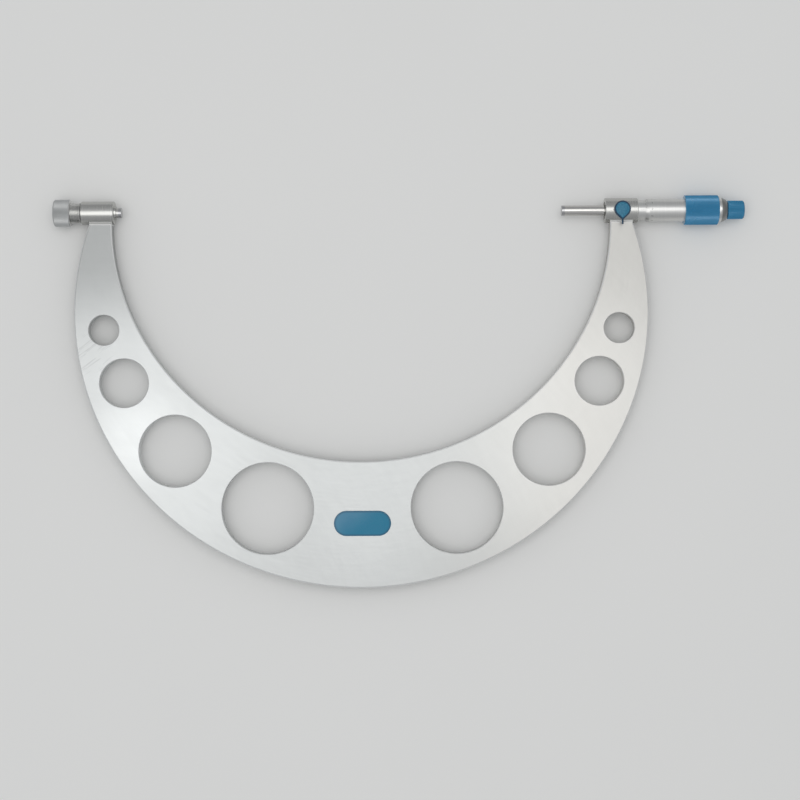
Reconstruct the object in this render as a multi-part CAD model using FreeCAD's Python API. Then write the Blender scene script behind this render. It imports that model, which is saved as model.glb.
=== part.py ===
"""Outside micrometer with interchangeable anvils, fitted with its shortest anvil.

It lies flat. The origin is the centre of the anvil's measuring face, X runs along the
measuring axis towards the head, Y out of the mouth of the bow, and Z out of the face
with the badge. All sizes are in millimetres.
"""
import FreeCAD, Part
import math
import os

V = FreeCAD.Vector
AXIS = V(1, 0, 0)

# Measuring range with this anvil
zero_gap = 275.0
travel = 25.0

# Clearances
press_gap = 0.01
running_gap = 0.05
sleeve_gap = 0.10
face_gap = 0.05
loose_gap = 0.3

# How far a cutting shape reaches past what it cuts
overcut = 1.0

# Plate of the bow
plate_thickness = 9.0
plate_edge_radius = 0.8
plate_shift = 0.9
arm_inset = 2.2
arm_width = 23.75
boss_sink = 0.2
outer_half_height = 171.8
outer_centre_depth = 63.4
inner_half_height = 149.3
inner_centre_depth = 7.0

# Lightening holes: angle round the bow's middle line, in degrees, and radius of each pair
lightening_holes = (
    (13.8, 9.5),
    (26.4, 15.3),
    (45.2, 22.6),
    (69.1, 28.7),
)
hole_line_inset = 1.9
hole_chamfer = 0.3

# Badge
badge_length = 35.6
badge_width = 15.7
badge_thickness = 0.8
badge_proud = 0.4
badge_rise = 1.0
badge_edge_chamfer = 0.2

# Anvil boss, its nose, relief groove and threaded neck
anvil_boss_length = 20.4
anvil_boss_radius = 7.25
boss_chamfer = 0.25
nose_length = 1.0
nose_radius = 4.4
groove_length = 0.65
groove_radius = 5.9
neck_thread_length = 12.05
neck_thread_pitch = 0.75
neck_thread_depth = 0.4
neck_radius = 6.4
neck_chamfer = 0.6

# Anvil
anvil_out = 3.6
anvil_radius = 3.25
anvil_head_length = 8.0
anvil_head_radius = 4.0
anvil_length = 35.0
anvil_dome = 1.0
tip_length = 2.0
tip_chamfer = 0.25

# Clamping cap
cap_radius = 8.45
cap_bare_thread = 6.35
cap_thread_depth = 7.0
cap_wall = 3.9
cap_dome = 0.8
cap_chamfer = 0.7
cap_push_radius = 3.4

# Head boss
spindle_out = 27.1
head_boss_length = 20.3
head_boss_radius = 7.8

# Spindle
spindle_radius = 3.25
spindle_screw_radius = 3.6
spindle_cone_radius = 4.4
spindle_tail_radius = 3.5
spindle_end_recess = 1.0
spindle_tapped_depth = 9.0

# Nut body in the head boss
nut_body_radius = 5.2
nut_body_recess = 0.6
nut_guide_length = 14.0
nut_relief_radius = 4.1
nut_thread_length = 16.0
nut_tail_length = 5.5
nut_slot_count = 3
nut_slot_width = 0.6
nut_slot_length = 9.0

# Scale sleeve and adjusting nut
sleeve_radius = 6.3
sleeve_bare_length = 4.9
sleeve_overlap = 4.1
spanner_hole_radius = 0.8
spanner_hole_inset = 2.4
adjusting_nut_length = 4.5
adjusting_nut_radius = 6.0
adjusting_nut_inset = 0.5
adjusting_slot_width = 1.0
adjusting_slot_depth = 0.8

# Thimble and its grip
thimble_radius = 7.05
thimble_edge_radius = 6.55
thimble_bevel_length = 2.2
thimble_front_length = 24.4
thimble_web_length = 6.5
thimble_chamber_radius = 4.8
thimble_cone_length = 5.5
thimble_flange_radius = 7.5
thimble_end_radius = 5.6
grip_length = 21.2
grip_radius = 9.2
grip_edge_radius = 0.7

# Ratchet stop
knob_length = 10.3
knob_radius = 5.75
knob_chamfer = 0.6
knob_standoff = 0.3
knob_skirt_length = 3.4
knob_skirt_radius = 4.5
knob_bore_radius = 3.9
knob_end_wall = 5.1
knob_bearing_length = 2.2
knob_recess_radius = 3.3
ratchet_flange_radius = 4.3
ratchet_flange_length = 1.8
ratchet_stub_radius = 2.0
ratchet_shank_radius = 2.0
ratchet_teeth = 12
ratchet_tooth_height = 0.6
ratchet_tooth_gap = 0.1
ratchet_tooth_inner_radius = 2.4
ratchet_ring_length = 1.8
ratchet_lug_width = 1.2
ratchet_lug_reach = 0.4
spring_wire_radius = 0.3
spring_coil_radius = 3.0
spring_turns = 5
retaining_head_radius = 2.9
retaining_head_length = 1.6
retaining_thread_radius = 1.1
retaining_thread_length = 5.0
retaining_slot_width = 0.6
retaining_slot_depth = 0.7

# Spindle lock
lock_screw_radius = 2.5
lock_screw_across_flats = 3.4
lock_hex_height = 1.5
lock_pad_radius = 1.9
lock_pad_height = 1.9
lock_lever_lift = 0.6
lock_lever_thickness = 2.5
lock_lever_radius = 5.1
lock_lever_chamfer = 0.4
lock_lever_apex = 7.0
lock_tail_reach = 9.4
lock_tail_width = 1.1
lock_tail_thickness = 1.5

# Places along the axis, worked out from the sizes above
x_nose = -anvil_out
x_anvil_boss = x_nose - nose_length
x_groove = x_anvil_boss - anvil_boss_length
x_neck = x_groove - groove_length
x_neck_end = x_neck - neck_thread_length
x_anvil_seat = -(anvil_length - anvil_head_length)
x_cap_mouth = x_neck - cap_bare_thread
x_cap_floor = x_cap_mouth - cap_thread_depth
x_cap_end = x_cap_floor - cap_wall
x_head_boss = zero_gap + spindle_out
x_sleeve = x_head_boss + head_boss_length
x_thimble = x_sleeve + sleeve_bare_length
x_sleeve_end = x_thimble + travel + sleeve_overlap
x_adjusting_nut = x_sleeve_end + adjusting_nut_inset
x_nut_end = x_adjusting_nut + nut_tail_length
x_nut_thread = x_nut_end - nut_thread_length
x_grip = x_thimble + thimble_front_length
x_grip_end = x_grip + grip_length
x_thimble_end = x_grip_end + thimble_cone_length
x_web = x_nut_end + 10 * loose_gap
x_web_end = x_web + thimble_web_length
x_spindle_end = x_web_end - spindle_end_recess
x_tooth_root = x_web_end + ratchet_flange_length
x_ring = x_tooth_root + 2 * ratchet_tooth_height + ratchet_tooth_gap
x_ring_end = x_ring + ratchet_ring_length
x_knob = x_thimble_end + knob_standoff
x_knob_end = x_knob + knob_length
x_knob_floor = x_knob_end - knob_end_wall
x_shank_end = x_knob_floor + knob_bearing_length + face_gap
x_lock = x_head_boss + head_boss_length / 2
x_middle = (x_anvil_boss + x_head_boss) / 2 + plate_shift
inner_half_width = (x_head_boss - x_anvil_boss) / 2 + arm_inset
outer_half_width = inner_half_width + arm_width
arm_end_depth = anvil_boss_radius - boss_sink
outer_bottom_depth = outer_centre_depth + outer_half_height
inner_bottom_depth = inner_centre_depth + inner_half_height
badge_depth = (outer_bottom_depth + inner_bottom_depth) / 2 - badge_rise
z_plate = plate_thickness / 2
z_lever = head_boss_radius + lock_lever_lift
thimble_bore_radius = sleeve_radius + sleeve_gap


def cylinder(x0, x1, radius):
    """A round bar along the measuring axis."""
    return Part.makeCylinder(radius, x1 - x0, V(x0, 0, 0), AXIS)


def turned(points):
    """A solid turned about the measuring axis from points given as (x, radius)."""
    corners = [V(x, radius, 0) for x, radius in points]
    face = Part.Face(Part.makePolygon(corners + corners[:1]))
    return face.revolve(V(0, 0, 0), AXIS, 360)


def domed_bar(x_face, x_shoulder, radius, dome, chamfer=0):
    """A round bar whose low end is a dome that stands out by dome, inside a chamfer."""
    rim_radius = radius - chamfer
    sphere_radius = (rim_radius ** 2 + dome ** 2) / (2 * dome)
    half_angle = math.asin(rim_radius / sphere_radius) / 2
    apex = V(x_face, 0, 0)
    between = V(x_face + sphere_radius * (1 - math.cos(half_angle)), sphere_radius * math.sin(half_angle), 0)
    corners = [V(x_face + dome, rim_radius, 0), V(x_shoulder, radius, 0), V(x_shoulder, 0, 0), apex]
    if chamfer:
        corners.insert(1, V(x_face + dome + chamfer, radius, 0))
    arc = Part.Arc(apex, between, corners[0]).toShape()
    outline = Part.Wire([arc] + Part.makePolygon(corners).Edges)
    return Part.Face(outline).revolve(V(0, 0, 0), AXIS, 360)


def box(x0, x1, y0, y1, z0, z1):
    """A block between two corners."""
    return Part.makeBox(x1 - x0, y1 - y0, z1 - z0, V(x0, y0, z0))


def round_edges(shape, radius):
    """The edges of a shape that are whole circles of a given radius."""
    return [edge for edge in shape.Edges
            if edge.Curve.TypeId == "Part::GeomCircle" and abs(edge.Curve.Radius - radius) < 1e-6]


def ellipse_face(centre_depth, half_width, half_height):
    """A flat elliptic face centred on the middle of the bow."""
    centre = V(x_middle, -centre_depth, -z_plate)
    ends = [centre + V(half_width, 0, 0), centre + V(0, half_height, 0)]
    if half_height > half_width:
        ends.reverse()
    return Part.Face(Part.Wire(Part.Ellipse(ends[0], ends[1], centre).toShape()))


def pill(length, width, z0, z1):
    """A bar with round ends, lying along X at the badge's place."""
    straight = length - width
    y_centre = -badge_depth
    body = box(x_middle - straight / 2, x_middle + straight / 2,
               y_centre - width / 2, y_centre + width / 2, z0, z1)
    for side in (-1, 1):
        end = V(x_middle + side * straight / 2, y_centre, z0)
        body = body.fuse(Part.makeCylinder(width / 2, z1 - z0, end))
    return body.removeSplitter()


def make_plate():
    """The C-shaped plate with rounded rims and its lightening holes, its arms ending under the bosses."""
    flat = ellipse_face(outer_centre_depth, outer_half_width, outer_half_height)
    flat = flat.cut(ellipse_face(inner_centre_depth, inner_half_width, inner_half_height))
    reach = outer_half_width + outer_half_height
    flat = flat.cut(box(x_middle - reach, x_middle + reach, -arm_end_depth, reach, -reach, reach))
    plate = flat.extrude(V(0, 0, plate_thickness))
    if plate.ShapeType != "Solid":
        plate = plate.Solids[0]
    rims = [edge for edge in plate.Edges if edge.BoundBox.ZLength < plate_edge_radius]
    plate = plate.makeFillet(plate_edge_radius, rims)
    line_depth = (outer_centre_depth + inner_centre_depth) / 2
    line_half_width = (outer_half_width + inner_half_width) / 2 - hole_line_inset
    line_half_height = (outer_half_height + inner_half_height) / 2
    for degrees, radius in lightening_holes:
        angle = math.radians(degrees)
        depth = line_depth + line_half_height * math.sin(angle)
        for side in (-1, 1):
            foot = V(x_middle + side * line_half_width * math.cos(angle), -depth, -plate_thickness)
            plate = plate.cut(Part.makeCylinder(radius, 2 * plate_thickness, foot))
    for radius in sorted({hole[1] for hole in lightening_holes}):
        plate = plate.makeChamfer(hole_chamfer, round_edges(plate, radius))
    return plate


def make_frame():
    """The bow with its two bosses and the threaded neck, one machined piece."""
    thread = []
    for turn in range(int((neck_thread_length - neck_chamfer) / neck_thread_pitch)):
        x_crest = x_neck_end + neck_chamfer + turn * neck_thread_pitch
        thread.append((x_crest, neck_radius))
        thread.append((x_crest + neck_thread_pitch / 2, neck_radius - neck_thread_depth))
    anvil_boss = turned([
        (x_neck_end, 0),
        (x_neck_end, neck_radius - neck_chamfer),
        *thread,
        (x_neck, neck_radius),
        (x_neck, groove_radius),
        (x_groove, groove_radius),
        (x_groove, anvil_boss_radius - boss_chamfer),
        (x_groove + boss_chamfer, anvil_boss_radius),
        (x_anvil_boss - boss_chamfer, anvil_boss_radius),
        (x_anvil_boss, anvil_boss_radius - boss_chamfer),
        (x_anvil_boss, nose_radius),
        (x_nose, nose_radius - boss_chamfer / 2),
        (x_nose, 0),
    ])
    head_boss = turned([
        (x_head_boss, 0),
        (x_head_boss, head_boss_radius - boss_chamfer),
        (x_head_boss + boss_chamfer, head_boss_radius),
        (x_sleeve - boss_chamfer, head_boss_radius),
        (x_sleeve, head_boss_radius - boss_chamfer),
        (x_sleeve, 0),
    ])
    frame = make_plate().fuse([anvil_boss, head_boss])
    anvil_bore = cylinder(x_anvil_seat - face_gap, overcut, anvil_radius + running_gap)
    head_seat = cylinder(x_neck_end - overcut, x_anvil_seat + face_gap, anvil_head_radius + running_gap)
    nut_bore = cylinder(x_head_boss - overcut, x_sleeve + overcut, nut_body_radius + press_gap)
    lock_bore = Part.makeCylinder(lock_screw_radius + running_gap, head_boss_radius + overcut,
                                  V(x_lock, 0, 0))
    badge_seat = pill(badge_length + 2 * press_gap, badge_width + 2 * press_gap,
                      z_plate - (badge_thickness - badge_proud), z_plate + overcut)
    return frame.cut([anvil_bore, head_seat, nut_bore, lock_bore, badge_seat]).removeSplitter()


def make_badge():
    """The bare pill-shaped badge, let into the plate and standing a little proud."""
    top = z_plate + badge_proud
    plate = pill(badge_length, badge_width, top - badge_thickness, top)
    rim = [edge for edge in plate.Edges
           if abs(edge.BoundBox.ZMin - top) < 1e-6 and abs(edge.BoundBox.ZMax - top) < 1e-6]
    return plate.makeChamfer(badge_edge_chamfer, rim)


def make_anvil():
    """The anvil's rod and its wider head, domed where the cap presses on it."""
    head = domed_bar(-anvil_length, x_anvil_seat, anvil_head_radius, anvil_dome)
    return head.fuse(cylinder(x_anvil_seat, -tip_length, anvil_radius)).removeSplitter()


def make_anvil_tip():
    """The hard measuring face on the anvil."""
    return turned([
        (-tip_length, 0),
        (-tip_length, anvil_radius),
        (-tip_chamfer, anvil_radius),
        (0, anvil_radius - tip_chamfer),
        (0, 0),
    ])


def make_anvil_cap():
    """The cap that screws on the neck and presses on the anvil's domed head."""
    body = domed_bar(x_cap_end, x_cap_mouth, cap_radius, cap_dome, cap_chamfer)
    hollow = cylinder(x_cap_floor, x_cap_mouth + overcut, neck_radius + running_gap)
    push = cylinder(x_cap_floor - overcut, -anvil_length - face_gap, cap_push_radius)
    return body.cut(hollow.cut(push)).removeSplitter()


def make_spindle_tip():
    """The hard measuring face on the spindle."""
    return turned([
        (zero_gap, 0),
        (zero_gap, spindle_radius - tip_chamfer),
        (zero_gap + tip_chamfer, spindle_radius),
        (zero_gap + tip_length, spindle_radius),
        (zero_gap + tip_length, 0),
    ])


def make_spindle():
    """The spindle: ground rod, measuring screw at its crests, cone for the thimble, tapped end."""
    x_screw = x_nut_thread - travel
    x_cone = x_web - face_gap
    body = turned([
        (zero_gap + tip_length, 0),
        (zero_gap + tip_length, spindle_radius),
        (x_screw, spindle_radius),
        (x_screw, spindle_screw_radius),
        (x_nut_end + loose_gap, spindle_screw_radius),
        (x_nut_end + loose_gap, spindle_radius),
        (x_cone, spindle_radius),
        (x_cone, spindle_cone_radius),
        (x_spindle_end, spindle_tail_radius),
        (x_spindle_end, 0),
    ])
    return body.cut(cylinder(x_spindle_end - spindle_tapped_depth, x_spindle_end + overcut,
                             ratchet_stub_radius + running_gap))


def make_nut_body():
    """The guide and measuring nut in the head boss, slit at its tail for the adjusting nut."""
    x_front = x_head_boss + nut_body_recess
    x_guide_end = x_front + nut_guide_length
    body = cylinder(x_front, x_nut_end, nut_body_radius)
    body = body.cut([
        cylinder(x_front - overcut, x_guide_end, spindle_radius + running_gap),
        cylinder(x_guide_end, x_nut_thread, nut_relief_radius),
        cylinder(x_nut_thread, x_nut_end + overcut, spindle_screw_radius + running_gap),
        Part.makeCylinder(lock_pad_radius + running_gap, nut_body_radius + overcut, V(x_lock, 0, 0)),
    ])
    for turn in range(nut_slot_count):
        slot = box(x_nut_end - nut_slot_length, x_nut_end + overcut, 0, nut_body_radius + overcut,
                   -nut_slot_width / 2, nut_slot_width / 2)
        slot.rotate(V(0, 0, 0), AXIS, turn * 360 / nut_slot_count)
        body = body.cut(slot)
    return body


def make_scale_sleeve():
    """The graduated sleeve over the nut body, with the spanner hole that sets its zero."""
    body = cylinder(x_sleeve, x_sleeve_end, sleeve_radius)
    spanner_hole = Part.makeCylinder(spanner_hole_radius, sleeve_radius + overcut,
                                     V(x_sleeve + spanner_hole_inset, 0, 0), V(0, 0, -1))
    bore = cylinder(x_sleeve - overcut, x_sleeve_end + overcut, nut_body_radius + press_gap)
    return body.cut([bore, spanner_hole])


def make_adjusting_nut():
    """The ring nut that closes the slit tail of the nut body, with two spanner slots."""
    x_end = x_adjusting_nut + adjusting_nut_length
    body = cylinder(x_adjusting_nut, x_end, adjusting_nut_radius)
    reach = adjusting_nut_radius + overcut
    slot = box(x_end - adjusting_slot_depth, x_end + overcut, -reach, reach,
               -adjusting_slot_width / 2, adjusting_slot_width / 2)
    bore = cylinder(x_adjusting_nut - overcut, x_end + overcut, nut_body_radius + press_gap)
    return body.cut([bore, slot])


def make_thimble():
    """The thimble: bevelled scale edge, tube under the grip, web on the cone, rounded tail."""
    cone_gap = running_gap
    bend = math.radians(45)
    tail_mid = V(x_grip_end + thimble_cone_length * math.sin(bend),
                 thimble_end_radius + (thimble_flange_radius - thimble_end_radius) * math.cos(bend), 0)
    outline = [
        (x_thimble, thimble_bore_radius),
        (x_thimble, thimble_edge_radius),
        (x_thimble + thimble_bevel_length, thimble_radius),
        (x_grip_end, thimble_radius),
        (x_grip_end, thimble_flange_radius),
    ]
    inside = [
        (x_thimble_end, thimble_end_radius),
        (x_thimble_end, thimble_chamber_radius),
        (x_web_end, thimble_chamber_radius),
        (x_web_end, spindle_tail_radius + cone_gap),
        (x_web, spindle_cone_radius + cone_gap),
        (x_web, thimble_bore_radius),
        (x_thimble, thimble_bore_radius),
    ]
    front = Part.makePolygon([V(x, r, 0) for x, r in outline]).Edges
    back = Part.makePolygon([V(x, r, 0) for x, r in inside]).Edges
    tail = Part.Arc(V(x_grip_end, thimble_flange_radius, 0), tail_mid,
                    V(x_thimble_end, thimble_end_radius, 0)).toShape()
    return Part.Face(Part.Wire(front + [tail] + back)).revolve(V(0, 0, 0), AXIS, 360)


def make_thimble_grip():
    """The coloured grip pressed on the thimble against its flange."""
    body = cylinder(x_grip, x_grip_end - press_gap, grip_radius)
    body = body.makeFillet(grip_edge_radius, round_edges(body, grip_radius))
    return body.cut(cylinder(x_grip - overcut, x_grip_end + overcut, thimble_radius + press_gap))


def ratchet_teeth_at(x_root, x_tip, outer_radius):
    """A crown of saw teeth from x_root to x_tip, between the teeth's two radii."""
    pitch = 2 * math.pi / ratchet_teeth
    teeth = []
    for number in range(ratchet_teeth):
        wedge = Part.Face(Part.makePolygon([
            V(x_root, 0, 0),
            V(x_tip, 0, 0),
            V(x_root, outer_radius * math.tan(pitch * 0.9), 0),
            V(x_root, 0, 0),
        ])).extrude(V(0, 0, outer_radius))
        wedge.rotate(V(0, 0, 0), AXIS, number * 360 / ratchet_teeth)
        teeth.append(wedge)
    low, high = sorted((x_root, x_tip))
    crown = cylinder(low, high, outer_radius)
    crown = crown.cut(cylinder(low - overcut, high + overcut, ratchet_tooth_inner_radius))
    return teeth[0].fuse(teeth[1:]).common(crown)


def make_ratchet_body():
    """The ratchet's fixed half: stub in the spindle, toothed flange on the web, shank for the knob."""
    stub_front = x_spindle_end - spindle_tapped_depth + loose_gap
    body = cylinder(stub_front, x_web_end + face_gap, ratchet_stub_radius)
    body = body.fuse([
        cylinder(x_web_end, x_tooth_root, ratchet_flange_radius),
        cylinder(x_web_end, x_shank_end, ratchet_shank_radius),
        ratchet_teeth_at(x_tooth_root, x_tooth_root + ratchet_tooth_height,
                         knob_bore_radius - sleeve_gap),
    ])
    tapped = cylinder(x_shank_end - retaining_thread_length - loose_gap, x_shank_end + overcut,
                      retaining_thread_radius + press_gap)
    return body.cut(tapped).removeSplitter()


def make_ratchet_ring():
    """The ratchet's moving half, held to the knob by two lugs and pushed by the spring."""
    radius = knob_bore_radius - sleeve_gap
    ring = cylinder(x_ring, x_ring_end, radius)
    lug = box(x_ring, x_ring_end, -radius - ratchet_lug_reach, radius + ratchet_lug_reach,
              -ratchet_lug_width / 2, ratchet_lug_width / 2)
    ring = ring.fuse([lug, ratchet_teeth_at(x_ring, x_ring - ratchet_tooth_height, radius)])
    bore = cylinder(x_ring - overcut, x_ring_end + overcut, ratchet_shank_radius + sleeve_gap)
    return ring.cut(bore).removeSplitter()


def make_ratchet_spring():
    """The coil spring round the shank that holds the ratchet's two halves together."""
    x_first = x_ring_end + spring_wire_radius + press_gap
    x_last = x_knob_floor - spring_wire_radius - press_gap
    length = x_last - x_first
    path = Part.makeHelix(length / spring_turns, length, spring_coil_radius)
    section = Part.Wire(Part.makeCircle(spring_wire_radius, V(spring_coil_radius, 0, 0), V(0, 1, 0)))
    spring = Part.Wire(path).makePipeShell([section], True, True)
    spring.rotate(V(0, 0, 0), V(0, 1, 0), 90)
    spring.translate(V(x_first, 0, 0))
    return spring


def make_ratchet_knob():
    """The coloured knob: grip outside, skirt in the thimble, bore for ring and spring."""
    x_skirt = x_knob - knob_skirt_length
    body = turned([
        (x_skirt, 0),
        (x_skirt, knob_skirt_radius),
        (x_knob, knob_skirt_radius),
        (x_knob, knob_radius - knob_chamfer / 2),
        (x_knob + knob_chamfer / 2, knob_radius),
        (x_knob_end - knob_chamfer, knob_radius),
        (x_knob_end, knob_radius - knob_chamfer),
        (x_knob_end, 0),
    ])
    reach = knob_bore_radius - sleeve_gap + ratchet_lug_reach + sleeve_gap
    half_slot = ratchet_lug_width / 2 + sleeve_gap
    return body.cut([
        cylinder(x_skirt - overcut, x_knob_floor, knob_bore_radius),
        cylinder(x_knob_floor - overcut, x_knob_end, ratchet_shank_radius + running_gap),
        cylinder(x_knob_floor + knob_bearing_length, x_knob_end + overcut, knob_recess_radius),
        box(x_skirt - overcut, x_ring_end + loose_gap, -reach, reach, -half_slot, half_slot),
    ]).removeSplitter()


def make_ratchet_screw():
    """The slotted screw in the shank's end that keeps the knob on."""
    x_head_end = x_shank_end + retaining_head_length
    body = cylinder(x_shank_end - retaining_thread_length, x_shank_end + 0.5, retaining_thread_radius)
    body = body.fuse(cylinder(x_shank_end, x_head_end, retaining_head_radius))
    slot = box(x_head_end - retaining_slot_depth, x_head_end + overcut, -retaining_head_radius - overcut,
               retaining_head_radius + overcut, -retaining_slot_width / 2, retaining_slot_width / 2)
    return body.cut(slot).removeSplitter()


def make_lock_pad():
    """The plug that the lock screw presses on the spindle, hollowed to the spindle's curve."""
    foot = spindle_radius * 0.8
    top = spindle_radius + lock_pad_height
    body = Part.makeCylinder(lock_pad_radius, top - foot, V(x_lock, 0, foot))
    reach = lock_pad_radius + overcut
    return body.cut(cylinder(x_lock - reach, x_lock + reach, spindle_radius + running_gap))


def hexagon(across_flats, z0, z1):
    """A six-sided bar standing on the lock's axis."""
    corner = across_flats / math.sqrt(3)
    angles = [math.radians(60 * k) for k in range(7)]
    corners = [V(x_lock + corner * math.cos(angle), corner * math.sin(angle), z0) for angle in angles]
    return Part.Face(Part.makePolygon(corners)).extrude(V(0, 0, z1 - z0))


def make_lock_screw():
    """The screw that presses on the pad, with a six-sided top for the lever."""
    foot = spindle_radius + lock_pad_height + face_gap
    body = Part.makeCylinder(lock_screw_radius, z_lever - press_gap - foot, V(x_lock, 0, foot))
    top = hexagon(lock_screw_across_flats, z_lever - press_gap - 0.5, z_lever + lock_hex_height)
    return body.fuse(top).removeSplitter()


def make_lock_lever():
    """The coloured lever: round top drawn out to a point, with a narrow tail."""
    disc = Part.makeCylinder(lock_lever_radius, lock_lever_thickness, V(x_lock, 0, z_lever))
    spread = math.acos(lock_lever_radius / lock_lever_apex)
    side = lock_lever_radius * math.sin(spread)
    down = -lock_lever_radius * math.cos(spread)
    drop = Part.Face(Part.makePolygon([
        V(x_lock - side, down, z_lever),
        V(x_lock, -lock_lever_apex, z_lever),
        V(x_lock + side, down, z_lever),
        V(x_lock, 0, z_lever),
        V(x_lock - side, down, z_lever),
    ])).extrude(V(0, 0, lock_lever_thickness))
    body = disc.fuse(drop).removeSplitter()
    top = z_lever + lock_lever_thickness
    rim = [edge for edge in body.Edges if abs(edge.BoundBox.ZMin - top) < 1e-6]
    body = body.makeChamfer(lock_lever_chamfer, rim)
    tail = box(x_lock - lock_tail_width / 2, x_lock + lock_tail_width / 2, -lock_tail_reach,
               -lock_lever_radius, z_lever, z_lever + lock_tail_thickness)
    socket = hexagon(lock_screw_across_flats + 2 * press_gap, z_lever - overcut,
                     z_lever + lock_hex_height + press_gap)
    return body.fuse(tail).cut(socket).removeSplitter()


PIECES = {
    "frame": make_frame,
    "frame_badge": make_badge,
    "anvil": make_anvil,
    "anvil_tip": make_anvil_tip,
    "anvil_cap": make_anvil_cap,
    "spindle": make_spindle,
    "spindle_tip": make_spindle_tip,
    "nut_body": make_nut_body,
    "scale_sleeve": make_scale_sleeve,
    "adjusting_nut": make_adjusting_nut,
    "thimble": make_thimble,
    "thimble_grip": make_thimble_grip,
    "ratchet_body": make_ratchet_body,
    "ratchet_ring": make_ratchet_ring,
    "ratchet_spring": make_ratchet_spring,
    "ratchet_knob": make_ratchet_knob,
    "ratchet_screw": make_ratchet_screw,
    "lock_pad": make_lock_pad,
    "lock_screw": make_lock_screw,
    "lock_lever": make_lock_lever,
}

os.makedirs("parts", exist_ok=True)
for name, make in PIECES.items():
    make().exportStep("parts/" + name + ".step")
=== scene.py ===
"""Dresses the CAD frame of an outside micrometer with interchangeable anvils.

It is laid out as an add-on and run as a script. Lengths are in metres unless a property
says otherwise, X runs along the measuring axis and Z out of the face with the badge.
"""

import bmesh
import bpy
import math
from bpy.props import FloatProperty, FloatVectorProperty, IntProperty, PointerProperty
from mathutils import Matrix, Vector


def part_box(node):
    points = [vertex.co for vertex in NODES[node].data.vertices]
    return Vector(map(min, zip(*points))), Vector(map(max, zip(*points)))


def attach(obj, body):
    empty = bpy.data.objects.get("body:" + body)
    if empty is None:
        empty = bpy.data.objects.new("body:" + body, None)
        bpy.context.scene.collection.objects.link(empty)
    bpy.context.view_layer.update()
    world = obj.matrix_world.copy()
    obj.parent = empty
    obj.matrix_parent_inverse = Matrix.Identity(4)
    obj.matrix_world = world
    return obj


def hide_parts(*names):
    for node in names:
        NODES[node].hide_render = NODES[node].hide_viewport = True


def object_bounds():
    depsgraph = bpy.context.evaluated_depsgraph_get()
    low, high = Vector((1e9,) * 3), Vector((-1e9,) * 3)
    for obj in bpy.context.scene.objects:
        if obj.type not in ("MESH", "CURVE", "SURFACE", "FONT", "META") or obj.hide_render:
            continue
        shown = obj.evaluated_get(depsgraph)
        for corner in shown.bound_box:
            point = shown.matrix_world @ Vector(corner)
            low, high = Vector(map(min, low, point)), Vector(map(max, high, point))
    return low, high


bl_info = {
    "name": "Interchangeable anvil micrometer",
    "version": (1, 0, 0),
    "blender": (4, 5, 0),
    "location": "3D View > Sidebar > Micrometer",
    "description": "Dresses the frame of a large outside micrometer",
    "category": "Object",
}

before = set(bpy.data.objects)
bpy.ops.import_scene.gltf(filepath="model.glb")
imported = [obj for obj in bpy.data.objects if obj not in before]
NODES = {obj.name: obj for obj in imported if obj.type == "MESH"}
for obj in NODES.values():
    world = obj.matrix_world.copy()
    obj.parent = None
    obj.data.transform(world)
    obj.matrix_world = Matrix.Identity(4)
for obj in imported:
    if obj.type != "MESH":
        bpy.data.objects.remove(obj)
CAD_LOW, CAD_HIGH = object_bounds()
MM = 0.001


def ends(node):
    """The lowest and highest x of a CAD node, and its largest radius."""
    low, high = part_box(node)
    return low.x, high.x, high.y


class Value:
    """A node socket that takes part in plain arithmetic by adding Math nodes."""

    def __init__(self, socket):
        self.socket = socket

    def math(self, operation, *others):
        """Adds one Math node to the tree and returns its output."""
        node = self.socket.id_data.nodes.new("ShaderNodeMath")
        node.operation = operation
        for slot, value in zip(node.inputs, (self,) + others):
            feed(slot, value)
        return Value(node.outputs[0])

    def __add__(self, other):
        return self.math("ADD", other)

    def __sub__(self, other):
        return self.math("SUBTRACT", other)

    def __rsub__(self, other):
        return self.math("MULTIPLY_ADD", -1, other)

    def __mul__(self, other):
        return self.math("MULTIPLY", other)

    def __pow__(self, other):
        return self.math("POWER", other)

    __radd__ = __add__
    __rmul__ = __mul__


def feed(socket, value):
    """Links a socket to a value from the tree, or sets it to a plain number or colour."""
    if isinstance(value, Value):
        socket.id_data.links.new(value.socket, socket)
    elif hasattr(value, "__len__") and len(value) == 3 and socket.type == "RGBA":
        socket.default_value = (*value, 1.0)
    else:
        socket.default_value = value


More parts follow.
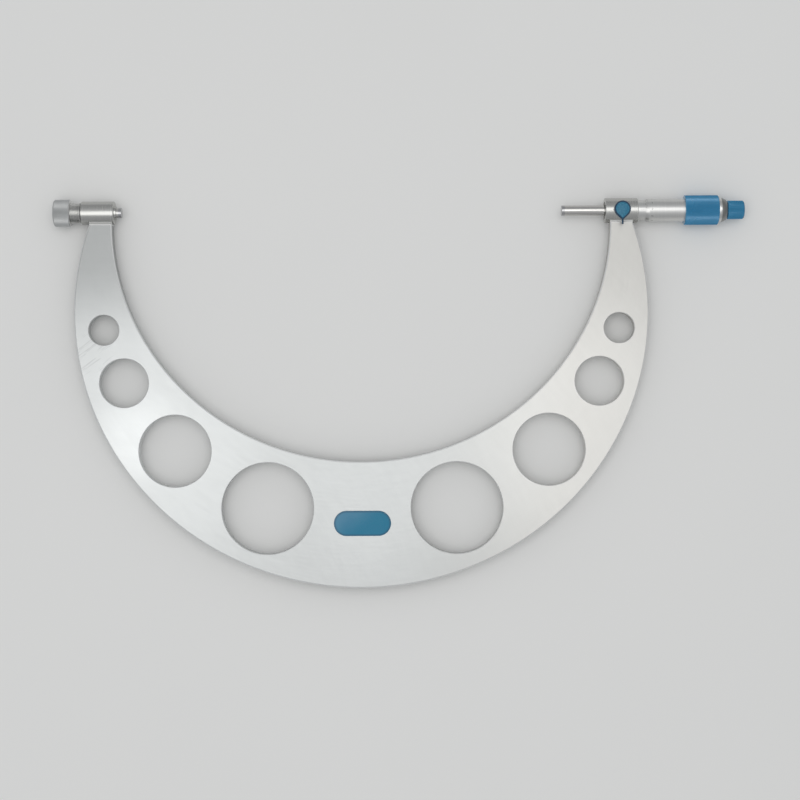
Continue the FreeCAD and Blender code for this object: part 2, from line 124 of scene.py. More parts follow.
class Finish:
    """A node tree and the calls that add to it."""

    def __init__(self, name, colour, roughness, metallic=1.0):
        self.material = bpy.data.materials.new(name)
        self.material.use_nodes = True
        self.material.diffuse_color = (*colour, 1.0)
        self.tree = self.material.node_tree
        self.shader = self.tree.nodes["Principled BSDF"]
        self.surface(Base_Color=colour, Roughness=roughness, Metallic=metallic)
        self.place = self.node("ShaderNodeTexCoord", output="Object")

    def node(self, kind, settings=None, inputs=None, output=0):
        """Adds a node, makes its settings, then feeds its sockets, and returns one output."""
        node = self.tree.nodes.new(kind)
        for setting, choice in (settings or {}).items():
            setattr(node, setting, choice)
        for socket, value in (inputs or {}).items():
            feed(node.inputs[socket], value)
        return Value(node.outputs[output])

    def surface(self, **sockets):
        """Feeds the shader's own sockets, named with underscores for spaces."""
        for socket, value in sockets.items():
            feed(self.shader.inputs[socket.replace("_", " ")], value)

    def parts(self, vector):
        """The three parts of a vector."""
        first = self.node("ShaderNodeSeparateXYZ", inputs={0: vector})
        return [Value(socket) for socket in first.socket.node.outputs]

    def vector(self, x, y, z):
        """A vector from three values."""
        return self.node("ShaderNodeCombineXYZ", inputs={0: x, 1: y, 2: z})

    def noise(self, vector, scale, detail=2.0, roughness=0.5):
        """Smooth noise from 0 to 1."""
        return self.node("ShaderNodeTexNoise", {"noise_dimensions": "3D"},
                         {"Vector": vector, "Scale": scale, "Detail": detail,
                          "Roughness": roughness})

    def ramp(self, value, low, high, to_low=0.0, to_high=1.0):
        """A value carried smoothly from one range to another, and held at its ends."""
        return self.node("ShaderNodeMapRange", {"interpolation_type": "SMOOTHSTEP"},
                         {0: value, 1: low, 2: high, 3: to_low, 4: to_high})

    def band(self, value, rise, fall, soft_rise, soft_fall):
        """A mask that is 1 between two values, with a soft step at each."""
        return (self.ramp(value, rise, rise + soft_rise)
                * self.ramp(value, fall - soft_fall, fall, 1.0, 0.0))

    def blend(self, mask, first, second, mode="MIX"):
        """Two colours mixed by a mask."""
        return self.node("ShaderNodeMix", {"data_type": "RGBA", "blend_type": mode},
                         {0: mask, 6: first, 7: second}, output=2)

    def times(self, first, second):
        """A colour multiplied by another colour or by a value."""
        return self.blend(1.0, first, second, "MULTIPLY")

    def tint(self, mask, colour):
        """Gives the surface another colour where a mask is 1."""
        self.colour = self.blend(mask, self.colour, colour)
        self.surface(Base_Color=self.colour)

    def bump(self, height, distance, strength=1.0):
        """Raises the surface by a height from 0 to 1 times a distance."""
        normal = self.node("ShaderNodeBump", None,
                           {"Height": height, "Distance": distance, "Strength": strength})
        self.surface(Normal=normal)


def wear(finish, low, high):
    """Faint smudges that make a surface a little duller or brighter, as handling does."""
    return finish.ramp(finish.noise(finish.place, 38.0, 4.0, 0.6), 0.35, 0.7, low, high)


def turned_lines(finish, pitch):
    """Fine lines that run round the measuring axis, from 0 to 1."""
    x, y, z = finish.parts(finish.place)
    coarse = finish.noise(finish.vector(x * (0.25 / pitch), y * 12.0, z * 12.0), 1.0, 3.0, 0.7)
    fine = finish.noise(finish.vector(x * (1.0 / pitch), y * 20.0, z * 20.0), 1.0, 2.0, 0.6)
    return coarse * 0.5 + fine * 0.5


def turned_steel(name, colour, roughness, pitch, depth):
    """Steel with fine turning or grinding lines round the measuring axis."""
    finish = Finish(name, colour, roughness)
    lines = turned_lines(finish, pitch)
    shade = finish.ramp(lines, 0.3, 0.7, 0.9, 1.05)
    finish.colour = finish.times(colour, shade)
    finish.surface(Base_Color=finish.colour)
    finish.surface(Roughness=lines * 0.12 + wear(finish, roughness - 0.09, roughness - 0.02))
    finish.bump(lines, depth)
    return finish


def knurl_finish(name, colour, painted_groove_shade, roughness, metallic, crest, depth):
    """A knurled surface, with painted shade in its grooves, and rubbed on its crests."""
    finish = Finish(name, colour, roughness, metallic)
    x, y, z = finish.parts(finish.place)
    radius = (y * y + z * z) ** 0.5
    height = finish.ramp(radius, crest - depth, crest)
    rubbed = finish.noise(finish.place, 160.0, 3.0)
    # Painted shade: the grooves take the darker colour.
    tone = finish.blend(height, painted_groove_shade, colour)
    light = [min(1.0, 1.25 * part + 0.03) for part in colour]
    tone = finish.blend(finish.ramp(height * rubbed, 0.45, 0.62, 0.0, 0.5), tone, light)
    finish.colour = tone
    finish.surface(Base_Color=tone, Roughness=wear(finish, roughness - 0.05, roughness + 0.06))
    finish.bump(finish.noise(finish.place, 2600.0, 2.0), 0.012 * MM)
    return finish


def piece_from(name, bm, finish, smooth_below=None):
    """Makes an object from a bmesh, with its normals turned outwards, and links it."""
    bmesh.ops.recalc_face_normals(bm, faces=bm.faces)
    mesh = bpy.data.meshes.new(name)
    bm.to_mesh(mesh)
    bm.free()
    piece = bpy.data.objects.new(name, mesh)
    bpy.context.scene.collection.objects.link(piece)
    mesh.materials.append(finish.material)
    if smooth_below is not None:
        mesh.shade_smooth()
        mesh.set_sharp_from_angle(angle=math.radians(smooth_below))
    return piece


def hand_over(piece, body, slot, *nodes):
    """Lets a piece ride on its body and stand for CAD nodes, which it hides; the slot is not used.
    """
    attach(piece, body)
    if nodes:
        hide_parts(*nodes)


def lathe(profile, steps, closed=True):
    """A bmesh spun about the measuring axis from (x, radius) points."""
    bm = bmesh.new()
    rim = [bm.verts.new((x, 0.0, radius)) for x, radius in profile]
    edges = [bm.edges.new(pair) for pair in zip(rim, rim[1:])]
    if closed:
        edges.append(bm.edges.new((rim[-1], rim[0])))
    bmesh.ops.spin(bm, geom=rim + edges, cent=(0, 0, 0), axis=(1, 0, 0), angle=2 * math.pi,
                   steps=steps, use_merge=True, use_duplicate=False)
    bmesh.ops.remove_doubles(bm, verts=bm.verts, dist=0.002 * MM)
    return bm


def press_teeth(bm, x0, x1, crest, depth, steps):
    """Sinks every other line of a band, so that it becomes straight teeth along the axis."""
    step = 2 * math.pi / steps
    slack = 0.01 * MM
    for vert in bm.verts:
        radius = math.hypot(vert.co.y, vert.co.z)
        if abs(radius - crest) > slack or not x0 - slack < vert.co.x < x1 + slack:
            continue
        if round(math.atan2(vert.co.y, vert.co.z) / step) % 2:
            vert.co.y *= (crest - depth) / radius
            vert.co.z *= (crest - depth) / radius


class BowFinish(bpy.types.PropertyGroup):
    """Colours and grain of the flat bow and its bosses."""

    plate_colour: FloatVectorProperty(
        name="Plate colour", description="Colour of the satin plate", subtype="COLOR",
        size=3, min=0.0, max=1.0, default=(0.50, 0.505, 0.50))
    boss_colour: FloatVectorProperty(
        name="Boss colour", description="Colour of the turned bosses", subtype="COLOR",
        size=3, min=0.0, max=1.0, default=(0.52, 0.52, 0.505))
    plate_roughness: FloatProperty(
        name="Plate roughness", description="Roughness of the ground plate",
        min=0.05, max=1.0, default=0.42)
    grain_pitch: FloatProperty(
        name="Grain pitch", description="Spacing of the grinding lines",
        unit="LENGTH", min=0.05 * MM, max=5 * MM, default=0.35 * MM, precision=5)
    badge_colour: FloatVectorProperty(
        name="Badge colour", description="Colour of the badge's enamel", subtype="COLOR",
        size=3, min=0.0, max=1.0, default=(0.010, 0.205, 0.345))


class HeadFinish(bpy.types.PropertyGroup):
    """Colours of the head, and the knurls on its grips."""

    chrome_colour: FloatVectorProperty(
        name="Chrome colour", description="Colour of the satin chrome", subtype="COLOR",
        size=3, min=0.0, max=1.0, default=(0.68, 0.68, 0.67))
    steel_colour: FloatVectorProperty(
        name="Steel colour", description="Colour of the ground steel", subtype="COLOR",
        size=3, min=0.0, max=1.0, default=(0.60, 0.59, 0.575))
    blue: FloatVectorProperty(
        name="Blue", description="Colour of the grip, knob and lever", subtype="COLOR",
        size=3, min=0.0, max=1.0, default=(0.025, 0.25, 0.47))
    knurl_pitch: FloatProperty(
        name="Knurl pitch", description="Spacing of the teeth of the grip and the cap",
        unit="LENGTH", min=0.3 * MM, max=3 * MM, default=0.8 * MM, precision=5)
    knurl_depth: FloatProperty(
        name="Knurl depth", description="Depth of the grooves between the teeth",
        unit="LENGTH", min=0.02 * MM, max=0.5 * MM, default=0.32 * MM, precision=5)
    knob_teeth: IntProperty(
        name="Knob teeth", description="Number of straight teeth round the knob",
        min=12, max=120, default=40)


class ScaleMarks(bpy.types.PropertyGroup):
    """Sizes of the graduations and figures."""

    line_width: FloatProperty(
        name="Line width", description="Width of a graduation",
        unit="LENGTH", min=0.05 * MM, max=0.5 * MM, default=0.08 * MM, precision=5)
    figure_height: FloatProperty(
        name="Figure height", description="Height of the figures",
        unit="LENGTH", min=0.5 * MM, max=4 * MM, default=1.15 * MM, precision=5)
    divisions: IntProperty(
        name="Divisions", description="Number of graduations round the thimble",
        min=10, max=100, default=50)


class StudioSettings(bpy.types.PropertyGroup):
    """Floor, lamps and camera."""

    floor_colour: FloatVectorProperty(
        name="Floor colour", description="Colour of the plain floor", subtype="COLOR",
        size=3, min=0.0, max=1.0, default=(0.88, 0.88, 0.87))
    camera_height: FloatProperty(
        name="Camera height", description="Height of the camera over the measuring axis",
        unit="LENGTH", min=0.2, max=5.0, default=1.07)
    field_width: FloatProperty(
        name="Field width", description="Width of the view at the measuring axis",
        unit="LENGTH", min=0.05, max=5.0, default=0.50094)
    overhead_strength: FloatProperty(
        name="Overhead strength", description="Radiance of the soft light overhead",
        min=0.0, max=10.0, default=1.3)


def settings():
    """The scene's own settings for this object."""
    scene = bpy.context.scene
    return scene.bow_finish, scene.head_finish, scene.scale_marks, scene.studio_settings


class MICROMETER_OT_finish_bow(bpy.types.Operator):
    """Gives the bow its ground plate, turned bosses and threaded neck"""

    bl_idname = "micrometer.finish_bow"
    bl_label = "Finish the bow"

    def execute(self, context):
        bow = settings()[0]
        finish = Finish("bow_silver", bow.plate_colour, bow.plate_roughness)
        x, y, z = finish.parts(finish.place)
        arms_end = -7.0 * MM
        shoulder = -25.6 * MM
        boss = finish.ramp(y, arms_end - 0.06 * MM, arms_end)
        neck = finish.ramp(x, shoulder - 0.1 * MM, shoulder, 1.0, 0.0) * boss
        groove = finish.band(x, shoulder - 0.05 * MM, shoulder + 0.65 * MM, 0.1 * MM, 0.1 * MM)

        def arcs(pivot, pitch):
            """Noise drawn out along circles round a pivot, as grinding leaves it."""
            offset = finish.node("ShaderNodeVectorMath", {"operation": "SUBTRACT"},
                                 {0: finish.place, 1: pivot})
            across, up, out = finish.parts(offset)
            radius = (across * across + up * up) ** 0.5
            angle = up.math("ARCTAN2", across)
            return finish.noise(finish.vector(radius * (1.0 / pitch), angle * 14.0, out * 300.0),
                                1.0, 3.0, 0.65)

        def spot(centre_x, centre_y, near, far):
            """A round pool, 1 within the near radius and 0 beyond the far one."""
            across, up = x - centre_x, y - centre_y
            return finish.ramp((across * across + up * up) ** 0.5, near, far, 1.0, 0.0)

        pitch = bow.grain_pitch
        grain = (arcs((0.15, -0.02, 0.0), pitch) * 0.6
                 + arcs((-0.06, -0.30, 0.0), pitch * 1.4) * 0.4)
        sweep = arcs((-0.02, -0.36, 0.0), pitch * 9.0)
        lines = turned_lines(finish, 0.16 * MM)
        cloud = finish.noise(finish.place, 9.0, 2.0)
        left = finish.ramp(x, 0.0, 0.12, 1.0, 0.0)
        right = finish.ramp(x, 0.16, 0.30)
        arms = finish.ramp(y, -0.085, -0.03)
        tone = (finish.ramp(grain, 0.25, 0.75, 0.96, 1.025)
                * finish.ramp(sweep, 0.3, 0.7, 0.992, 1.006)
                * finish.ramp(cloud, 0.3, 0.7, 0.99, 1.008))
        # Painted light in the tone: pools of painted reflection low on the left, low on the right
        # and low in the middle, and painted shade over the tops of the arms, most on the left.
        tone = tone * (1.0 + spot(0.01, -0.145, 0.03, 0.13) * 0.22
                       + spot(0.01, -0.142, 0.008, 0.04) * 0.22
                       + spot(0.29, -0.14, 0.03, 0.12) * 0.26
                       + spot(0.16, -0.172, 0.02, 0.07) * 0.08
                       - arms * left * 0.26 - arms * right * 0.02)
        along = (x * 0.80 + y * 0.60) * 90.0
        across = (y * 0.80 - x * 0.60) * 1100.0
        scratch = finish.noise(finish.vector(across, along, z * 90.0), 1.0, 2.0)
        scratch = finish.ramp(scratch, 0.56, 0.66)
        tone = tone * (1.0 - scratch * spot(-0.019, -0.089, 0.004, 0.019) * 0.16)
        # The plate is tinted a little cooler on the left and warmer on the right.
        cool = finish.blend(right, (0.985, 1.0, 1.01), (1.02, 1.0, 0.975))
        plate = finish.times(finish.times(bow.plate_colour, cool), tone)

        height = z.math("ABSOLUTE")
        # Painted highlight: the rounded rims of the plate get a paler, less metallic colour,
        # standing for the light they catch.
        rim = finish.band(height, 3.6 * MM, 4.49 * MM, 0.3 * MM, 0.07 * MM) * (1.0 - boss)
        plate = finish.blend(rim, plate, (0.78, 0.79, 0.785))
        badge_low, badge_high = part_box("frame_badge")
        side = (x - (badge_low.x + badge_high.x) / 2).math("ABSOLUTE")
        # Painted highlight: a pale, non-metallic strip on the plate's end where it meets each boss,
        # painted over the shade that falls there.
        joint_highlight = (finish.band(side, 155.4 * MM, 169.9 * MM, 0.2 * MM, 0.4 * MM)
                * finish.band(y, -8.0 * MM, -5.9 * MM, 0.2 * MM, 0.3 * MM)
                * finish.ramp(height, 4.45 * MM, 4.6 * MM, 1.0, 0.0))
        turned = finish.times(bow.boss_colour, finish.ramp(lines, 0.3, 0.7, 0.93, 1.04))
        colour = finish.blend(boss, plate, turned)
        colour = finish.blend(neck, colour, (0.64, 0.64, 0.63))
        # Painted shade: the groove at the neck's shoulder is painted near black.
        colour = finish.blend(groove * boss, colour, (0.10, 0.10, 0.10))
        finish.surface(Base_Color=finish.blend(joint_highlight, colour, (0.85, 0.85, 0.84)))
        plate_rough = finish.ramp(grain, 0.3, 0.7, bow.plate_roughness - 0.03,
                                  bow.plate_roughness + 0.05)
        boss_rough = finish.ramp(lines, 0.3, 0.7, 0.20, 0.28)
        finish.surface(Roughness=plate_rough * (1.0 - boss) + boss_rough * boss,
                       Metallic=(1.0 - rim * 0.6) * (1.0 - joint_highlight))
        finish.bump(grain * (1.0 - boss) + lines * boss * 0.4, 0.010 * MM)
        NODES["frame"].material_slots[0].material = finish.material
        return {"FINISHED"}


class MICROMETER_OT_fit_badge(bpy.types.Operator):
    """Makes the bare enamelled badge, darker towards its thin stepped rim"""

    bl_idname = "micrometer.fit_badge"
    bl_label = "Fit the badge"

    def execute(self, context):
        bow = settings()[0]
        low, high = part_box("frame_badge")
        middle = (low + high) / 2
        half_length = (high.x - low.x) / 2
        half_width = (high.y - low.y) / 2
        enamel = Finish("badge_enamel", bow.badge_colour, 0.3, 0.0)
        x, y, z = enamel.parts(enamel.place)
        # Painted reflection: the badge is lighter across its upper left, a painted reflection of
        # the sky.
        sky = enamel.ramp(x * 0.8 - y, middle.x * 0.8 - middle.y - 18 * MM,
                          middle.x * 0.8 - middle.y + 6 * MM, 1.0, 0.0)
        cloud = enamel.noise(enamel.place, 120.0, 2.0)
        tone = enamel.blend(sky * 0.6, bow.badge_colour, (0.15, 0.32, 0.47))
        tone = enamel.blend(enamel.ramp(cloud, 0.3, 0.75, 0.0, 0.25), tone, (0.012, 0.18, 0.34))
        along = (x - middle.x).math("ABSOLUTE") - (half_length - half_width)
        along = along.math("MAXIMUM", 0.0)
        across = y - middle.y
        reach = (along * along + across * across) ** 0.5
        edge = enamel.ramp(reach, half_width - 1.6 * MM, half_width - 0.5 * MM)
        enamel.surface(Base_Color=enamel.blend(edge * 0.6, tone, (0.03, 0.10, 0.17)))
        enamel.surface(Roughness=wear(enamel, 0.24, 0.36), Specular_IOR_Level=0.25)
        enamel.bump(enamel.noise(enamel.place, 900.0, 2.0), 0.006 * MM)

        bm = bmesh.new()
        bmesh.ops.create_circle(bm, cap_ends=True, segments=96, radius=half_width)
        for vert in bm.verts:
            vert.co.x += math.copysign(half_length - half_width, vert.co.x)
        bmesh.ops.translate(bm, verts=bm.verts, vec=(middle.x, middle.y, low.z))
        top = bmesh.ops.extrude_face_region(bm, geom=bm.faces[:])
        bmesh.ops.translate(bm, vec=(0, 0, high.z - low.z - 0.16 * MM),
                            verts=[v for v in top["geom"] if isinstance(v, bmesh.types.BMVert)])
        bm.normal_update()
        face = max(bm.faces, key=lambda f: f.calc_center_median().z)
        for inset, rise in ((0.16, 0.10), (0.55, 0.04), (1.8, 0.02)):
            bmesh.ops.inset_region(bm, faces=[face], thickness=inset * MM, depth=0.0,
                                   use_even_offset=True)
            bmesh.ops.translate(bm, verts=face.verts, vec=(0, 0, rise * MM))
        piece = piece_from("badge_enamelled", bm, enamel, 25)
        hand_over(piece, "frame", "blue", "frame_badge")
        return {"FINISHED"}


class MICROMETER_OT_knurl_cap(bpy.types.Operator):
    """Makes the clamping cap with its fine straight teeth"""

    bl_idname = "micrometer.knurl_cap"
    bl_label = "Knurl the cap"

    def execute(self, context):
        head = settings()[1]
        x0, x1, radius = ends("anvil_cap")
        depth = head.knurl_depth * 0.8
        teeth = round(2 * math.pi * radius / head.knurl_pitch)
        band0, band1 = x0 + 1.5 * MM, x1 - 0.45 * MM
        bore = 6.45 * MM
        seat = ends("anvil")[0] - 0.05 * MM
        disc, step, rim = 3.7 * MM, 3.85 * MM, 7.75 * MM
        button = [(x0 + 0.12 * MM * (k / 3) ** 2, disc * k / 3) for k in range(4)]
        dome = [(x0 + (0.22 + 0.58 * (k / 5) ** 2) * MM, step + (rim - step) * k / 5)
                for k in range(6)]
        profile = button + dome + [(x0 + 0.95 * MM, 8.05 * MM), (x0 + 1.15 * MM, radius - depth),
                          (band0, radius), (band1, radius), (x1 - 0.15 * MM, radius - depth),
                          (x1, radius - depth - 0.1 * MM), (x1, bore), (x1 - 7.0 * MM, bore),
                          (x1 - 7.0 * MM, 3.4 * MM), (seat, 3.4 * MM), (seat, 0.0)]
        bm = lathe(profile, 2 * teeth, closed=False)
        press_teeth(bm, band0, band1, radius, depth, 2 * teeth)
        finish = knurl_finish("cap_knurl", (0.56, 0.57, 0.57), (0.44, 0.45, 0.45), 0.42, 0.6,
                              radius, depth)
        # Painted light: the cap's end face, which lies in shade, is painted pale.
        end_face_light = finish.ramp(finish.parts(finish.place)[0], x1 - 0.12 * MM, x1 - 0.04 * MM)
        finish.tint(end_face_light, (0.90, 0.90, 0.89))
        piece = piece_from("cap_knurled", bm, finish, 22)
        hand_over(piece, "cap", "cap_steel", "anvil_cap")
        return {"FINISHED"}


class MICROMETER_OT_knurl_grip(bpy.types.Operator):
    """Makes the blue grip with its fine straight knurl"""

    bl_idname = "micrometer.knurl_grip"
    bl_label = "Knurl the grip"

    def execute(self, context):
        head = settings()[1]
        x0, x1, radius = ends("thimble_grip")
        depth = head.knurl_depth
        teeth = round(2 * math.pi * radius / head.knurl_pitch)
        bore = 7.06 * MM
        lip = 0.45 * MM
        root = radius - depth
        profile = [(x0, bore), (x0, root - 0.1 * MM), (x0 + 0.1 * MM, root), (x0 + lip, radius),
                   (x1 - lip, radius), (x1 - 0.1 * MM, root), (x1, root - 0.1 * MM), (x1, bore)]
        bm = lathe(profile, 2 * teeth)
        press_teeth(bm, x0 + lip, x1 - lip, radius, depth, 2 * teeth)
        finish = knurl_finish("grip_blue", head.blue, [0.92 * part for part in head.blue],
                              0.26, 0.2, radius, depth)
        finish.surface(Coat_Weight=0.9, Coat_Roughness=0.15)
        piece = piece_from("grip_knurled", bm, finish, 22)
        hand_over(piece, "thimble", "blue_grip", "thimble_grip")
        return {"FINISHED"}


class MICROMETER_OT_turn_knob(bpy.types.Operator):
    """Makes the blue ratchet knob with its straight teeth and its recess"""

    bl_idname = "micrometer.turn_knob"
    bl_label = "Turn the knob"

    def execute(self, context):
        head = settings()[1]
        x_skirt, x1, radius = ends("ratchet_knob")
        x0 = x_skirt + 3.4 * MM
        band0, band1 = x0 + 0.5 * MM, x1 - 0.8 * MM
        steps = 2 * head.knob_teeth
        depth = 0.26 * MM
        profile = [(x_skirt, 4.3 * MM), (x_skirt, 4.5 * MM), (x0, 4.5 * MM),
                   (x0, radius - 0.4 * MM), (x0 + 0.15 * MM, radius - depth),
                   (band0, radius), (band1, radius), (x1 - 0.35 * MM, radius - depth),
                   (x1, radius - 0.6 * MM), (x1, 3.3 * MM),
                   (x1 - 2.9 * MM, 3.3 * MM), (x1 - 2.9 * MM, 2.05 * MM),
                   (x1 - 5.1 * MM, 2.05 * MM), (x1 - 5.1 * MM, 4.3 * MM)]
        bm = lathe(profile, steps)
        press_teeth(bm, band0, band1, radius, depth, steps)
        finish = knurl_finish("knob_blue", head.blue, [0.75 * part for part in head.blue],
                              0.28, 0.2, radius, depth)
        finish.surface(Coat_Weight=0.3, Coat_Roughness=0.2)
        piece = piece_from("knob_fluted", bm, finish, 22)
        hand_over(piece, "knob", "blue_grip", "ratchet_knob")
        return {"FINISHED"}


class MICROMETER_OT_form_lever(bpy.types.Operator):
    """Makes the blue lock lever, domed inside a lower rim, with its narrow tail"""

    bl_idname = "micrometer.form_lever"
    bl_label = "Form the lock lever"

    def execute(self, context):
        head = settings()[1]
        low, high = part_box("lock_lever")
        x_lock = (low.x + high.x) / 2
        radius = (high.x - low.x) / 2
        apex = 7.0 * MM
        spread = math.acos(radius / apex)
        finish = Finish("lever_blue", head.blue, 0.36, 0.0)
        speck = finish.noise(finish.place, 1100.0, 3.0)
        x, y, z = finish.parts(finish.place)
        # Painted shade: below the dome's top the lever's sides and its tail are painted dark blue.
        dome = finish.ramp(z, low.z + 1.92 * MM, low.z + 2.12 * MM)
        tone = finish.blend(finish.ramp(speck, 0.35, 0.7), (0.025, 0.17, 0.29), (0.065, 0.26, 0.39))
        finish.surface(Base_Color=finish.blend(dome, (0.018, 0.055, 0.105), tone))
        finish.surface(Roughness=wear(finish, 0.3, 0.42), Specular_IOR_Level=0.3)
        finish.bump(speck, 0.02 * MM)

        bm = bmesh.new()
        bmesh.ops.create_circle(bm, cap_ends=True, segments=96, radius=radius)
        for vert in bm.verts:
            turn = abs(math.atan2(vert.co.x, -vert.co.y))
            if turn < spread:
                vert.co *= 1.0 / math.cos(spread - turn)
        bmesh.ops.translate(bm, verts=bm.verts, vec=(x_lock, 0, low.z))
        top = bmesh.ops.extrude_face_region(bm, geom=bm.faces[:])
        bmesh.ops.translate(bm, vec=(0, 0, 1.75 * MM),
                            verts=[v for v in top["geom"] if isinstance(v, bmesh.types.BMVert)])
        bm.normal_update()
        face = max(bm.faces, key=lambda f: f.calc_center_median().z)
        centre = Matrix.Translation((-x_lock, 0, 0))
        size = 1.0
        for share, rise in ((0.95, 0.15), (0.86, -0.05), (0.80, 0.25), (0.68, 0.2),
                            (0.48, 0.13), (0.24, 0.07)):
            bmesh.ops.inset_region(bm, faces=[face], thickness=0.0, depth=0.0)
            bmesh.ops.scale(bm, verts=face.verts, space=centre,
                            vec=(share / size, share / size, 1.0))
            bmesh.ops.translate(bm, verts=face.verts, vec=(0, 0, rise * MM))
            size = share
        tail = bmesh.ops.create_cube(bm, size=1.0)["verts"]
        bmesh.ops.scale(bm, verts=tail, vec=(1.1 * MM, 5.0 * MM, 1.5 * MM))
        bmesh.ops.translate(bm, verts=tail, vec=(x_lock, low.y + 2.5 * MM, low.z + 0.75 * MM))
        bars = {edge for vert in tail for edge in vert.link_edges}
        bmesh.ops.bevel(bm, geom=list(bars), offset=0.25 * MM, affect="EDGES", segments=3,
                        profile=0.5, material=-1)
        piece = piece_from("lever_domed", bm, finish, 30)
        hand_over(piece, "lock", "blue", "lock_lever")
        return {"FINISHED"}


def mark(bm, length, width, radius, x, angle, tilt=0.0):
    """Adds one thin graduation at x, turned by an angle from the front towards +Y."""
    bar = bmesh.ops.create_cube(bm, size=1.0)["verts"]
    bmesh.ops.scale(bm, verts=bar, vec=(length, width, 0.04 * MM))
    bmesh.ops.rotate(bm, verts=bar, cent=(0, 0, 0), matrix=Matrix.Rotation(-tilt, 3, "Y"))
    bmesh.ops.translate(bm, verts=bar, vec=(x, 0, radius - 0.005 * MM))
    bmesh.ops.rotate(bm, verts=bar, cent=(0, 0, 0), matrix=Matrix.Rotation(-angle, 3, "X"))


def figure(bm, text, height, radius, x, angle):
    """Adds a figure bent round the axis, its foot towards the bow."""
    curve = bpy.data.curves.new("figure", "FONT")
    curve.body = text
    curve.size = height / 0.72
    curve.resolution_u = 3
    curve.extrude = 0.02 * MM
    curve.align_x = "CENTER"
    curve.align_y = "CENTER"
    holder = bpy.data.objects.new("figure", curve)
    mesh = bpy.data.meshes.new_from_object(holder)
    bpy.data.objects.remove(holder)
    bpy.data.curves.remove(curve)
    before = set(bm.verts)
    bm.from_mesh(mesh)
    bpy.data.meshes.remove(mesh)
    for vert in set(bm.verts) - before:
        turn = angle + vert.co.y / radius
        out = radius + vert.co.z - 0.005 * MM
        vert.co = Vector((x + vert.co.x, out * math.sin(turn), out * math.cos(turn)))


class MICROMETER_OT_cut_scales(bpy.types.Operator):
    """Makes the graduations and figures of the sleeve and the thimble"""

    bl_idname = "micrometer.cut_scales"
    bl_label = "Cut the scales"

    def execute(self, context):
        marks = settings()[2]
        ink = Finish("scale_ink", (0.14, 0.14, 0.14), 0.55, 0.0)
        faded = ink.ramp(ink.noise(ink.place, 900.0, 2.0), 0.4, 0.7, 0.0, 0.5)
        ink.surface(Base_Color=ink.blend(faded, (0.14, 0.14, 0.14), (0.26, 0.26, 0.26)))
        x_sleeve, _, sleeve_radius = ends("scale_sleeve")
        x_thimble = ends("thimble")[0]
        width = marks.line_width
        bm = bmesh.new()
        line_start = x_sleeve + 1.0 * MM
        reach = x_thimble + 25.6 * MM - line_start
        mark(bm, reach, width, sleeve_radius, line_start + reach / 2, 0.0)
        for half in range(51):
            side = 1 if half % 2 == 0 else -1
            long = 2.2 if half % 10 == 0 else 1.5
            arc = long * MM / sleeve_radius
            for part in range(4):
                turn = side * (part + 0.5) * arc / 4
                mark(bm, width, long * MM / 4 + 0.02 * MM, sleeve_radius,
                     x_thimble + half * 0.5 * MM, turn)
            if half % 10 == 0:
                figure(bm, str(half // 2), marks.figure_height, sleeve_radius,
                       x_thimble + half * 0.5 * MM, arc + 1.1 * MM / sleeve_radius)
        sleeve = piece_from("sleeve_scale", bm, ink)
        hand_over(sleeve, "frame", "satin_chrome")

        bm = bmesh.new()
        edge, full, bevel = 6.55 * MM, 7.05 * MM, 2.2 * MM
        tilt = math.atan2(full - edge, bevel)
        for number in range(marks.divisions):
            angle = 2 * math.pi * number / marks.divisions
            long = 1.9 if number % 5 == 0 else 1.35
            x = x_thimble + long / 2 * MM + 0.08 * MM
            radius = edge + (x - x_thimble) * math.tan(tilt)
            mark(bm, long * MM, width, radius, x, angle, tilt)
            if number % 5 == 0:
                figure(bm, str(number), marks.figure_height, full, x_thimble + 3.9 * MM, angle)
        thimble = piece_from("thimble_scale", bm, ink)
        hand_over(thimble, "thimble", "satin_chrome")
        return {"FINISHED"}


class MICROMETER_OT_finish_steel(bpy.types.Operator):
    """Gives the chrome, ground, turned and brass CAD nodes their finishes"""

    bl_idname = "micrometer.finish_steel"
    bl_label = "Finish the steel"

    def execute(self, context):
        head = settings()[1]
        chrome = turned_steel("satin_chrome", head.chrome_colour, 0.31, 0.12 * MM, 0.006 * MM)
        grip_end = ends("thimble_grip")[1]
        # Painted shade: past the grip the chrome is painted dark, a painted dark reflection on the
        # ratchet's cone.
        tail = chrome.ramp(chrome.parts(chrome.place)[0], grip_end + 1.5 * MM, grip_end + 2.1 * MM)
        chrome.tint(tail, (0.27, 0.275, 0.27))
        polished = turned_steel("ground_steel", head.steel_colour, 0.17, 0.08 * MM, 0.003 * MM)
        tool = turned_steel("turned_steel", (0.58, 0.575, 0.56), 0.30, 0.15 * MM, 0.008 * MM)
        carbide = turned_steel("lapped_carbide", (0.46, 0.46, 0.47), 0.20, 0.2 * MM, 0.002 * MM)
        wire = turned_steel("spring_wire", (0.50, 0.50, 0.50), 0.32, 0.3 * MM, 0.004 * MM)
        brass = turned_steel("turned_brass", (0.78, 0.60, 0.28), 0.30, 0.15 * MM, 0.006 * MM)
        finishes = {
            chrome: ("thimble", "scale_sleeve"),
            polished: ("spindle",),
            tool: ("anvil", "nut_body", "adjusting_nut", "ratchet_body", "ratchet_ring",
                   "ratchet_screw", "lock_screw"),
            carbide: ("anvil_tip", "spindle_tip"),
            wire: ("ratchet_spring",),
            brass: ("lock_pad",),
        }
        for finish, names in finishes.items():
            for name in names:
                NODES[name].material_slots[0].material = finish.material
        return {"FINISHED"}


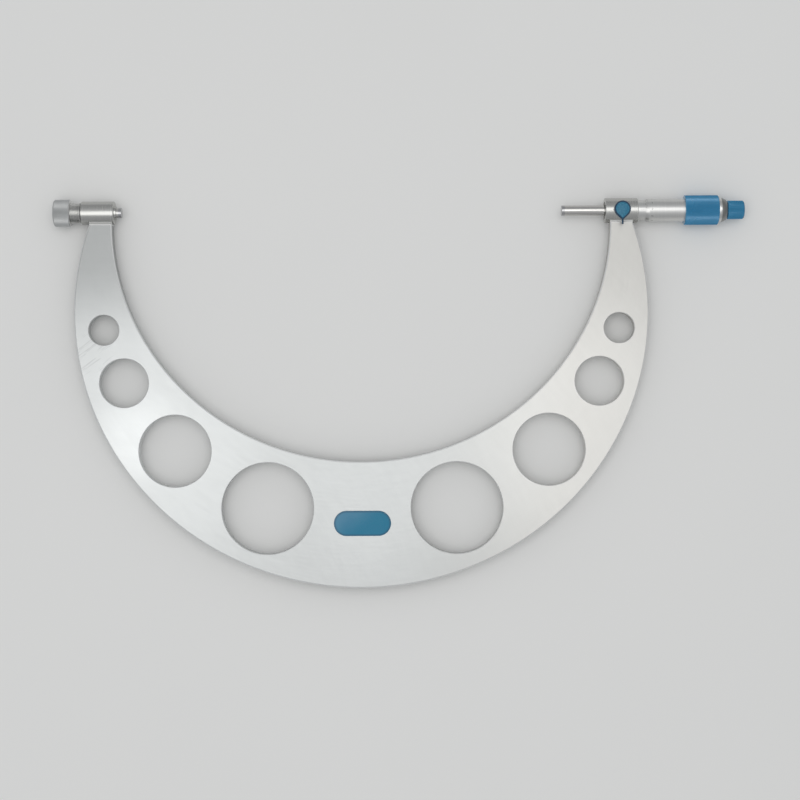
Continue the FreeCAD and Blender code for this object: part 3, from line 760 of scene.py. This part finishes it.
class MICROMETER_OT_set_stage(bpy.types.Operator):
    """Lays the floor and sets the lamps, the sky and the camera"""

    bl_idname = "micrometer.set_stage"
    bl_label = "Set the stage"

    def execute(self, context):
        studio = settings()[3]
        scene = context.scene
        middle = (CAD_LOW + CAD_HIGH) / 2
        paper = Finish("floor_paper", studio.floor_colour, 0.9, 0.0)
        cloud = paper.ramp(paper.noise(paper.place, 6.0, 3.0), 0.3, 0.7, 0.0, 0.12)
        shade = [0.94 * part for part in studio.floor_colour]
        paper.surface(Base_Color=paper.blend(cloud, studio.floor_colour, shade))
        bm = bmesh.new()
        bmesh.ops.create_grid(bm, x_segments=1, y_segments=1, size=14.0)
        bmesh.ops.translate(bm, verts=bm.verts, vec=(middle.x, middle.y, CAD_LOW.z))
        piece_from("floor", bm, paper)

        lamp = bpy.data.lights.new("overhead", "AREA")
        lamp.shape = "RECTANGLE"
        lamp.size = 1.6
        lamp.size_y = 1.0
        lamp.energy = studio.overhead_strength * math.pi * lamp.size * lamp.size_y
        lamp.color = (1.0, 0.99, 0.97)
        holder = bpy.data.objects.new("overhead", lamp)
        holder.location = (middle.x - 0.10, middle.y + 0.08, 1.6)
        aim = Vector((middle.x, middle.y, 0.0)) - holder.location
        holder.rotation_euler = aim.to_track_quat("-Z", "Y").to_euler()
        scene.collection.objects.link(holder)

        world = bpy.data.worlds.new("sky")
        world.use_nodes = True
        scene.world = world
        tree = world.node_tree
        background = tree.nodes["Background"]
        direction = tree.nodes.new("ShaderNodeTexCoord")
        split = tree.nodes.new("ShaderNodeSeparateXYZ")
        tree.links.new(direction.outputs["Generated"], split.inputs[0])
        rise = Value(split.outputs[2]).math("MAXIMUM", 0.0)
        feed(background.inputs["Color"], (0.97, 0.985, 1.0))
        feed(background.inputs["Strength"], 0.44 + rise ** 4 * 0.30)

        camera = bpy.data.cameras.new("camera")
        camera.sensor_width = 36.0
        camera.lens = camera.sensor_width * studio.camera_height / studio.field_width
        eye = bpy.data.objects.new("camera", camera)
        eye.location = (0.17345, -0.11795, studio.camera_height)
        eye.rotation_euler = (0.0, 0.0, math.radians(-0.30))
        scene.collection.objects.link(eye)
        scene.camera = eye
        scene.view_settings.view_transform = "Standard"
        return {"FINISHED"}


STEPS = ("finish_bow", "fit_badge", "knurl_cap", "knurl_grip", "turn_knob", "form_lever",
         "cut_scales", "finish_steel", "set_stage")


class MICROMETER_PT_sidebar(bpy.types.Panel):
    """Lists the micrometer's settings and its steps"""

    bl_idname = "MICROMETER_PT_sidebar"
    bl_label = "Micrometer"
    bl_space_type = "VIEW_3D"
    bl_region_type = "UI"
    bl_category = "Micrometer"

    def draw(self, context):
        for group in settings():
            box = self.layout.box()
            for name in group.__annotations__:
                box.prop(group, name)
        for step in STEPS:
            self.layout.operator("micrometer." + step)


CLASSES = (BowFinish, HeadFinish, ScaleMarks, StudioSettings, MICROMETER_OT_finish_bow,
           MICROMETER_OT_fit_badge, MICROMETER_OT_knurl_cap, MICROMETER_OT_knurl_grip,
           MICROMETER_OT_turn_knob, MICROMETER_OT_form_lever, MICROMETER_OT_cut_scales,
           MICROMETER_OT_finish_steel, MICROMETER_OT_set_stage, MICROMETER_PT_sidebar)


def register():
    """Registers the classes and the scene's settings."""
    for entry in CLASSES:
        bpy.utils.register_class(entry)
    bpy.types.Scene.bow_finish = PointerProperty(type=BowFinish)
    bpy.types.Scene.head_finish = PointerProperty(type=HeadFinish)
    bpy.types.Scene.scale_marks = PointerProperty(type=ScaleMarks)
    bpy.types.Scene.studio_settings = PointerProperty(type=StudioSettings)


def unregister():
    """Takes the settings and the classes away again."""
    del bpy.types.Scene.studio_settings
    del bpy.types.Scene.scale_marks
    del bpy.types.Scene.head_finish
    del bpy.types.Scene.bow_finish
    for entry in reversed(CLASSES):
        bpy.utils.unregister_class(entry)


def main():
    """Registers the add-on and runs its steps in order."""
    register()
    for step in STEPS:
        getattr(bpy.ops.micrometer, step)()


if __name__ == "__main__":
    main()
